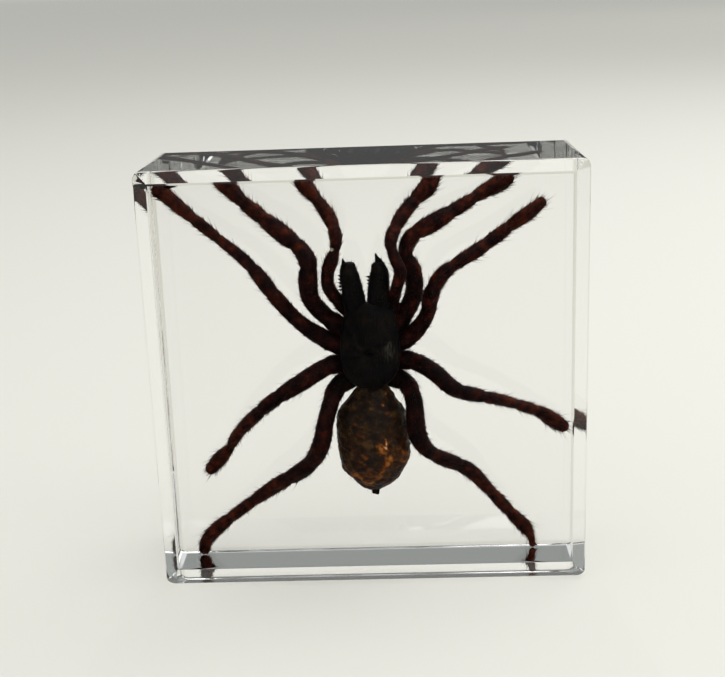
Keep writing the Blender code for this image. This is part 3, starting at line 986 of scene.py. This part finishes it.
SPINNERETS = (
    ((0.3, 1.1, 16.5, 0.6), (0.3, 1.1, 15.1, 0.5), (0.3, 1.2, 14.3, 0.4)),
    ((0.9, 1.2, 16.5, 0.55), (0.85, 1.2, 15.1, 0.45), (0.8, 1.3, 14.1, 0.38)),
    ((-0.25, 1.8, 16.7, 0.35), (-0.2, 2.0, 15.6, 0.26)),
    ((1.15, 1.8, 16.7, 0.35), (1.1, 2.0, 15.6, 0.26)),
)
STERNUM_PROFILE = ((0.45, 0, 47.21, 1.01), (0.45, 0, 45.99, 2.23), (0.45, 0, 41.92, 2.84),
                   (0.45, 0, 38.36, 2.13), (0.45, 0, 37.03, 0.91))
LABIUM_PROFILE = ((0.45, 0, 49.04, 0.61), (0.45, 0, 48.43, 1.01), (0.45, 0, 47.41, 0.91))
EYES = ((-0.32, 0.1, 0.26), (0.32, 0.1, 0.26), (-0.75, 0.25, 0.2), (0.75, 0.25, 0.2),
        (-0.68, -0.3, 0.19), (0.68, -0.3, 0.19), (-0.36, -0.36, 0.15), (0.36, -0.36, 0.15))
EYE_SETBACK = 0.15
print("jaw spines:", len(JAW_SPINES), "spinnerets:", len(SPINNERETS), "eyes:", len(EYES))

# %% Small body parts


def plate(profile, middle_y, flatten, sides):
    """A flattened plate on the underside."""
    bm = body_loft(profile, middle_y, flatten, sides)
    set_body_attributes(bm, 1.0)
    wrinkle(bm, height=0.04, grain=0.6)
    return bm


def eye(x, z, size):
    """One bead of an eye on the eye hill. The outer ones lie further back."""
    bm = bmesh.new()
    place = Matrix.Translation((EYE_HILL + Vector((x, EYE_SETBACK * abs(x), z))) * MM)
    bmesh.ops.create_icosphere(bm, subdivisions=3, radius=size * MM, matrix=place)
    return bm


def bristle_row(root_x, tip_x, low_z):
    """Stout bristles one above the other along the edge of a chelicera."""
    heights = [low_z + step * BRISTLE_STEP for step in range(BRISTLES_IN_ROW)]
    return [spine((root_x, BRISTLE_Y, z), (tip_x, BRISTLE_Y, z + BRISTLE_RISE), BRISTLE_RADIUS)
            for z in heights]


def fang(middle_x):
    """A fang, whose line is shared and only moved aside."""
    return plain_limb([(middle_x + x, y, z, radius) for x, y, z, radius in FANG], sides=20, height=0)


fang_forms = [fang(middle_x) for middle_x in FANG_X]
eye_forms = [eye(*values) for values in EYES]
chelicera_forms = [plain_limb(points, sides=40, height=0.07, depth=0.4) for points in CHELICERAE]
chelicera_forms += [spine(*values) for values in JAW_SPINES]
chelicera_forms += [part for row in BRISTLE_ROWS for part in bristle_row(*row)]
spinneret_forms = [plain_limb(points, 14, height=0.03, spacing=0.2, depth=0.5) for points in SPINNERETS]
sternum = plate(STERNUM_PROFILE, middle_y=2.3, flatten=0.55, sides=48)
labium = plate(LABIUM_PROFILE, middle_y=2.9, flatten=0.7, sides=32)
print("fangs:", len(fang_forms), "eyes:", len(eye_forms), "on the jaws:", len(chelicera_forms) - 2)

# %% [markdown]
# ## Cuticle
#
# The stiff parts are sclerotised cuticle, the chitin shell of the spider, dried and then wetted by
# resin: a dark red-brown, redder where it is thin, with a dull gloss. Cuticle and resin bend light
# nearly alike, so the spider mirrors very little inside the block, and its IOR is set close to 1.
# The rust attribute makes each limb redder towards its tip. The surface is covered with the sockets
# of the hairs, about a quarter of a millimetre apart, which break the gloss up. On the right of the
# shield, grey-olive streaks are a painted sheen, a reflection painted into the colour, and the torn
# skin of a joint is pale: the mottle_and_sheen and joint attributes mix them in.

# %% Cuticle material
IN_RESIN_IOR = 1.12
PATCH_SIZE = 2.2 * MM
SPECK_SIZE = 0.6 * MM
FOLD_DEPTH = 0.15 * MM
SOCKET_SPACING = 0.24 * MM
SOCKET_DEPTH = 0.06 * MM
STRAND_SIZE = (0.3 * MM, 0.3 * MM, 1.5 * MM)
RUST_SHIFT = 0.2
LEG_SHADES = ((0.32, "#070303"), (0.5, "#110606"), (0.62, "#230c08"), (0.76, "#43190d"), (0.9, "#5c2a13"))
SHIELD_SHADES = ((0.35, "#080707"), (0.55, "#0d0b0b"), (0.66, "#17110c"), (0.8, "#2a2216"))


def redder_at_tip(tree, tone):
    """A tone raised by the rust attribute, so that it is redder towards a limb's tip."""
    rust = add(tree, "ShaderNodeAttribute", attribute_name="rust").outputs["Fac"]
    raised = add(tree, "ShaderNodeMath", {0: rust, 1: RUST_SHIFT, 2: tone}, operation="MULTIPLY_ADD")
    return raised.outputs[0]


def dried_cuticle(name, shades, pitting):
    """Dark chitin with sockets, paler joints and painted sheen streaks, in a leg's or the shield's
    shades.
    """
    made, tree, shader = new_material(name)
    place = add(tree, "ShaderNodeTexCoord").outputs["Object"]
    patch = add(tree, "ShaderNodeTexNoise", {"Vector": place, "Scale": 1 / PATCH_SIZE, "Detail": 5.0,
                                             "Roughness": 0.6})
    tone = redder_at_tip(tree, patch.outputs["Fac"])
    plain = add(tree, "ShaderNodeValToRGB", {0: tone}, shades).outputs["Color"]
    scale = [1 / size for size in STRAND_SIZE]
    drawn_out = add(tree, "ShaderNodeMapping", {"Vector": place, "Scale": scale}).outputs[0]
    strand = add(tree, "ShaderNodeTexNoise", {"Vector": drawn_out, "Scale": 1.0, "Detail": 2.0})
    # Painted sheen: stretched noise in the shield's sheen patch mixes in grey-olive, standing in for a
    # reflection.
    sheen_patch = add(tree, "ShaderNodeAttribute", attribute_name="mottle_and_sheen").outputs["Fac"]
    streak = add(tree, "ShaderNodeMath", {0: sheen_patch, 1: strand.outputs["Fac"]}, operation="MULTIPLY")
    faint = add(tree, "ShaderNodeMapRange", {"Value": streak.outputs[0], "From Min": 0.34,
                                             "From Max": 0.66}).outputs["Result"]
    skin = add(tree, "ShaderNodeMix", {"Factor": faint, "A": plain, "B": linear("#3e3c32")},
               data_type="RGBA").outputs["Result"]
    speck = add(tree, "ShaderNodeTexNoise", {"Vector": place, "Scale": 1 / SPECK_SIZE, "Detail": 3.0})
    grit = speck.outputs["Fac"]
    joint = add(tree, "ShaderNodeAttribute", attribute_name="joint").outputs["Fac"]
    torn = add(tree, "ShaderNodeMath", {0: joint, 1: grit}, operation="MULTIPLY").outputs[0]
    pale = add(tree, "ShaderNodeMapRange", {"Value": torn, "From Min": 0.25, "From Max": 0.5})
    mixed = add(tree, "ShaderNodeMix", {"Factor": pale.outputs["Result"], "A": skin,
                                        "B": linear("#e6d6b4")}, data_type="RGBA")
    gloss = add(tree, "ShaderNodeMapRange", {"Value": grit, "To Min": 0.3, "To Max": 0.62})
    socket = add(tree, "ShaderNodeTexVoronoi", {"Vector": place, "Scale": 1 / SOCKET_SPACING})
    pits = add(tree, "ShaderNodeBump", {"Height": socket.outputs["Distance"], "Strength": pitting,
                                        "Distance": SOCKET_DEPTH})
    folds = add(tree, "ShaderNodeBump", {"Height": grit, "Normal": pits.outputs["Normal"],
                                         "Strength": 0.6, "Distance": FOLD_DEPTH})
    feed(tree, shader, {"Base Color": mixed.outputs["Result"], "Roughness": gloss.outputs["Result"],
                        "IOR": IN_RESIN_IOR, "Normal": folds.outputs["Normal"]})
    return made


CUTICLE = dried_cuticle("dried_leg_cuticle", LEG_SHADES, pitting=0.12)
SHIELD_CUTICLE = dried_cuticle("dried_shield_cuticle", SHIELD_SHADES, pitting=0.05)
print("cuticle:", len(CUTICLE.node_tree.nodes), "nodes")

# %% [markdown]
# ## Skin of the abdomen
#
# The abdomen is soft skin: dark brown where the hair lies flat on it, and amber on the streaks,
# where the dried skin is thin and lets light through, and pale cream on the painted glints, which
# are highlights painted into the colour. The mottle_and_sheen attribute that was stored with the
# ridges drives the colour, broken up by noise so that no streak has a clean edge. The resin
# wets it more than the stiff parts, which a thin coat of gloss shows.

# %% Abdomen material
CLOUD_SIZE = 1.6 * MM
GRAIN_SIZE = 1.1 * MM
CREASE_SIZE = 0.35 * MM
CREASE_DEPTH = 0.2 * MM
SKIN_SHADES = ((0.34, "#0c0704"), (0.46, "#1a100a"), (0.56, "#2c1d0e"), (0.68, "#4a3618"))
# The palest, cream stop is mostly reached by the painted glints, highlights painted into the colour.
AMBER_AND_GLINT_SHADES = ((0.3, "#43200a"), (0.45, "#703b12"), (0.62, "#a8672a"), (0.8, "#fff0c8"))


def dried_abdomen_skin():
    """Dark brown wrinkled skin with amber streaks, painted glints and a wet gloss."""
    made, tree, shader = new_material("dried_abdomen_skin")
    place = add(tree, "ShaderNodeTexCoord").outputs["Object"]
    cloud = add(tree, "ShaderNodeTexNoise", {"Vector": place, "Scale": 1 / CLOUD_SIZE, "Detail": 6.0,
                                             "Roughness": 0.65}).outputs["Fac"]
    skin = add(tree, "ShaderNodeValToRGB", {0: cloud}, SKIN_SHADES).outputs["Color"]
    mottle_and_sheen = add(tree, "ShaderNodeAttribute", attribute_name="mottle_and_sheen").outputs["Fac"]
    half = add(tree, "ShaderNodeMath", {0: cloud, 1: 0.5}, operation="MULTIPLY").outputs[0]
    # Painted glints, whose values pass 1, reach the pale end of this ramp.
    amber_and_glint_tone = add(tree, "ShaderNodeMath", {0: mottle_and_sheen, 1: 0.35, 2: half}, operation="MULTIPLY_ADD")
    amber = add(tree, "ShaderNodeValToRGB", {0: amber_and_glint_tone.outputs[0]}, AMBER_AND_GLINT_SHADES).outputs["Color"]
    grain = add(tree, "ShaderNodeTexNoise", {"Vector": place, "Scale": 1 / GRAIN_SIZE, "Detail": 4.0})
    broken = add(tree, "ShaderNodeMapRange", {"Value": grain.outputs["Fac"], "From Min": 0.42,
                                              "From Max": 0.58, "To Min": 0.3}).outputs["Result"]
    edge = add(tree, "ShaderNodeMath", {0: mottle_and_sheen, 1: broken}, operation="MULTIPLY").outputs[0]
    share = add(tree, "ShaderNodeMapRange", {"Value": edge, "From Min": 0.05, "From Max": 0.5})
    mixed = add(tree, "ShaderNodeMix", {"Factor": share.outputs["Result"], "A": skin, "B": amber},
                data_type="RGBA")
    creases = add(tree, "ShaderNodeTexNoise", {"Vector": place, "Scale": 1 / CREASE_SIZE, "Detail": 4.0})
    fine = creases.outputs["Fac"]
    gloss = add(tree, "ShaderNodeMapRange", {"Value": fine, "To Min": 0.15, "To Max": 0.6})
    bump = add(tree, "ShaderNodeBump", {"Height": fine, "Strength": 0.8, "Distance": CREASE_DEPTH})
    feed(tree, shader, {"Base Color": mixed.outputs["Result"], "Roughness": gloss.outputs["Result"],
                        "IOR": IN_RESIN_IOR, "Coat Weight": 0.12, "Coat Roughness": 0.12,
                        "Normal": bump.outputs["Normal"]})
    return made


ABDOMEN_SKIN = dried_abdomen_skin()
print("abdomen skin:", len(ABDOMEN_SKIN.node_tree.nodes), "nodes")

# %% [markdown]
# ## Fangs and eyes
#
# Fangs and eyes have no hair. They are smooth, almost black chitin with a hard gloss, and a faint
# red where the fang gets thin, so one glossy material with a slow colour noise serves both.

# %% Fang material
RED_CLOUD_SIZE = 1.5 * MM
BLACK_SHADES = ((0.4, "#0a0505"), (0.7, "#2c0d08"))


def polished_black_chitin():
    """Hairless black-red chitin with a hard gloss."""
    made, tree, shader = new_material("polished_black_chitin")
    place = add(tree, "ShaderNodeTexCoord").outputs["Object"]
    cloud = add(tree, "ShaderNodeTexNoise", {"Vector": place, "Scale": 1 / RED_CLOUD_SIZE,
                                             "Detail": 3.0}).outputs["Fac"]
    colour = add(tree, "ShaderNodeValToRGB", {0: cloud}, BLACK_SHADES)
    gloss = add(tree, "ShaderNodeMapRange", {"Value": cloud, "To Min": 0.08, "To Max": 0.25})
    feed(tree, shader, {"Base Color": colour.outputs["Color"], "Roughness": gloss.outputs["Result"]})
    return made


BLACK_CHITIN = polished_black_chitin()
print("black chitin:", len(BLACK_CHITIN.node_tree.nodes), "nodes")

# %% [markdown]
# ## Place the pieces of the spider
#
# Each piece now becomes an object. They all stand for the one tarantula solid of the frame. The
# pieces that grow hair are kept by name for the next step.

# %% Spider pieces
SPIDER = "tarantula"
SLOT = "dried_cuticle"
shield = finished_piece("spider_carapace", carapace_form, SHIELD_CUTICLE, SLOT, SPIDER)
belly = finished_piece("spider_abdomen", abdomen_form, ABDOMEN_SKIN, SLOT, SPIDER)
legs = finished_piece("spider_legs", join(leg_forms.values()), CUTICLE, SLOT, SPIDER)
palps = finished_piece("spider_palps", join(palp_forms.values()), CUTICLE, SLOT, SPIDER)
jaws = finished_piece("spider_chelicerae", join(chelicera_forms), SHIELD_CUTICLE, SLOT, SPIDER)
under = finished_piece("spider_underside", join([sternum, labium]), CUTICLE, SLOT, SPIDER)
spinnerets = finished_piece("spider_spinnerets", join(spinneret_forms), CUTICLE, SLOT, SPIDER)
finished_piece("spider_fangs", join(fang_forms), BLACK_CHITIN, SLOT, SPIDER)
finished_piece("spider_eyes", join(eye_forms), BLACK_CHITIN, SLOT, SPIDER)

# %% [markdown]
# ## Hair
#
# A tarantula is covered with setae: short ones that lie along the limb and make its outline look
# rough, and a few long fine ones that stand out. Particle hair would vanish on export, so the hair
# is mesh. Geometry Nodes scatter points by the fur attribute, put a thin three-sided cone on each,
# lean it towards the tip of the limb, realize the cones and bend them. The result is then turned
# into a plain mesh, and each coat is one piece.

# %% Hair material
TUFT_SIZE = 2.8 * MM
SETA_SHADES = ((0.3, "#090404"), (0.5, "#130806"), (0.62, "#26110b"), (0.76, "#3b2014"), (0.9, "#483424"))


def spider_seta():
    """Dark red-brown setae that turn olive-brown in tufts."""
    made, tree, shader = new_material("spider_seta")
    place = add(tree, "ShaderNodeTexCoord").outputs["Object"]
    tuft = add(tree, "ShaderNodeTexNoise", {"Vector": place, "Scale": 1 / TUFT_SIZE, "Detail": 4.0,
                                            "Roughness": 0.7}).outputs["Fac"]
    colour = add(tree, "ShaderNodeValToRGB", {0: redder_at_tip(tree, tuft)}, SETA_SHADES)
    gloss = add(tree, "ShaderNodeMapRange", {"Value": tuft, "To Min": 0.3, "To Max": 0.6})
    feed(tree, shader, {"Base Color": colour.outputs["Color"], "Roughness": gloss.outputs["Result"],
                        "IOR": IN_RESIN_IOR})
    return made


SETA = spider_seta()
print("seta:", len(SETA.node_tree.nodes), "nodes")

# %% Hair by Geometry Nodes
HAIR_SIDES = 3
JITTER = 0.3
HAIR_ATTRIBUTES = {"fur": "FLOAT", "along": "FLOAT_VECTOR", "reach": "FLOAT", "sweep": "FLOAT_VECTOR",
                   "height": "FLOAT"}


def hair_tree(name, per_mm2, length, thickness, lean, bend, segments, seed):
    """A node group that turns a skin into the hair that grows on it; sizes in mm."""
    tree = bpy.data.node_groups.new(name, "GeometryNodeTree")
    tree.interface.new_socket("Geometry", in_out="INPUT", socket_type="NodeSocketGeometry")
    tree.interface.new_socket("Geometry", in_out="OUTPUT", socket_type="NodeSocketGeometry")
    read = {}
    for attribute, kind in HAIR_ATTRIBUTES.items():
        reader = add(tree, "GeometryNodeInputNamedAttribute", {"Name": attribute}, data_type=kind)
        read[attribute] = reader.outputs["Attribute"]
    # Roots, and the way that each hair points
    skin = add(tree, "NodeGroupInput").outputs[0]
    amount = add(tree, "ShaderNodeMath", {0: read["fur"], 1: per_mm2 / MM ** 2}, operation="MULTIPLY")
    roots = add(tree, "GeometryNodeDistributePointsOnFaces",
                {"Mesh": skin, "Density": amount.outputs[0], "Seed": seed})
    jitter = add(tree, "FunctionNodeRandomValue", {"Min": (-JITTER,) * 3, "Max": (JITTER,) * 3,
                                                   "Seed": seed + 1}, data_type="FLOAT_VECTOR")
    leaned = add(tree, "ShaderNodeVectorMath", {0: read["along"], "Scale": lean}, operation="SCALE")
    upright = add(tree, "ShaderNodeVectorMath", {0: roots.outputs["Normal"], 1: leaned.outputs[0]},
                  operation="ADD")
    way = add(tree, "ShaderNodeVectorMath", {0: upright.outputs[0], 1: jitter.outputs["Value"]},
              operation="ADD")
    turn = add(tree, "FunctionNodeAlignRotationToVector", {"Vector": way.outputs[0]}, axis="Z")
    # Length, and how far the tip is swept along the limb
    drawn = add(tree, "FunctionNodeRandomValue", {"Min": length[0] * MM, "Max": length[1] * MM,
                                                  "Seed": seed + 2}, data_type="FLOAT").outputs[1]
    size = add(tree, "ShaderNodeMath", {0: drawn, 1: read["reach"]}, operation="MULTIPLY").outputs[0]
    curl = add(tree, "ShaderNodeMath", {0: size, 1: bend}, operation="MULTIPLY").outputs[0]
    sweep = add(tree, "ShaderNodeVectorMath", {0: read["along"], "Scale": curl}, operation="SCALE")
    swept = add(tree, "GeometryNodeStoreNamedAttribute",
                {"Geometry": roots.outputs["Points"], "Name": "sweep", "Value": sweep.outputs[0]},
                data_type="FLOAT_VECTOR")
    # A cone on each root, with its own height stored on its points
    cone = add(tree, "GeometryNodeMeshCone",
               {"Vertices": HAIR_SIDES, "Side Segments": segments, "Radius Top": 0.0,
                "Radius Bottom": thickness / 2 * MM, "Depth": 1.0})
    position = add(tree, "GeometryNodeInputPosition").outputs[0]
    height = add(tree, "ShaderNodeSeparateXYZ", {0: position}).outputs["Z"]
    marked = add(tree, "GeometryNodeStoreNamedAttribute",
                 {"Geometry": cone.outputs["Mesh"], "Name": "height", "Value": height}, data_type="FLOAT")
    scale = add(tree, "ShaderNodeCombineXYZ", {"X": 1.0, "Y": 1.0, "Z": size})
    hairs = add(tree, "GeometryNodeInstanceOnPoints",
                {"Points": swept.outputs[0], "Instance": marked.outputs[0], "Rotation": turn.outputs[0],
                 "Scale": scale.outputs[0]})
    real = add(tree, "GeometryNodeRealizeInstances", {0: hairs.outputs[0]})
    # The bend grows with the square of the height
    square = add(tree, "ShaderNodeMath", {0: read["height"], 1: 2.0}, operation="POWER").outputs[0]
    shift = add(tree, "ShaderNodeVectorMath", {0: read["sweep"], "Scale": square}, operation="SCALE")
    bent = add(tree, "GeometryNodeSetPosition", {"Geometry": real.outputs[0], "Offset": shift.outputs[0]})
    add(tree, "NodeGroupOutput", {0: bent.outputs[0]})
    print("%-18s %6d nodes" % (name, len(tree.nodes)))
    return tree


print("the hair reads:", ", ".join(HAIR_ATTRIBUTES))

# %% Grow the hair
HAIR_MARGIN = 0.2 * MM


def press_inside(coat):
    """Press the hairs that would reach a face of the block flat against it, as the mould does."""
    low, high = (Vector(corner) for corner in CAD_BOX)
    for vert in coat.verts:
        for axis in range(3):
            vert.co[axis] = min(max(vert.co[axis], low[axis] + HAIR_MARGIN), high[axis] - HAIR_MARGIN)


def grow_hair(name, skins, **look):
    """Grow one coat of hair on the skins and keep it as a plain mesh piece."""
    tree = hair_tree(name, **look)
    coats = []
    for skin in skins:
        carrier = bpy.data.objects.new("carrier", skin.data.copy())
        bpy.context.scene.collection.objects.link(carrier)
        carrier.modifiers.new("hair", "NODES").node_group = tree
        grown = carrier.evaluated_get(bpy.context.evaluated_depsgraph_get())
        coat = bmesh.new()
        coat.from_mesh(grown.data)
        press_inside(coat)
        coats.append(coat)
        bpy.data.objects.remove(carrier)
    return finished_piece(name, join(coats), SETA, SLOT, SPIDER)


LIMB_SKINS = [legs, palps, jaws]
BODY_SKINS = [shield, belly, under, spinnerets]
grow_hair("leg_setae", LIMB_SKINS, per_mm2=5.0, length=(0.4, 1.0), thickness=0.1, lean=1.5,
          bend=0.4, segments=2, seed=1)
grow_hair("leg_bristles", LIMB_SKINS, per_mm2=0.45, length=(1.0, 2.2), thickness=0.08, lean=0.9,
          bend=0.4, segments=3, seed=11)
grow_hair("body_setae", BODY_SKINS, per_mm2=5.0, length=(0.3, 0.8), thickness=0.07, lean=2.2,
          bend=0.5, segments=2, seed=21)
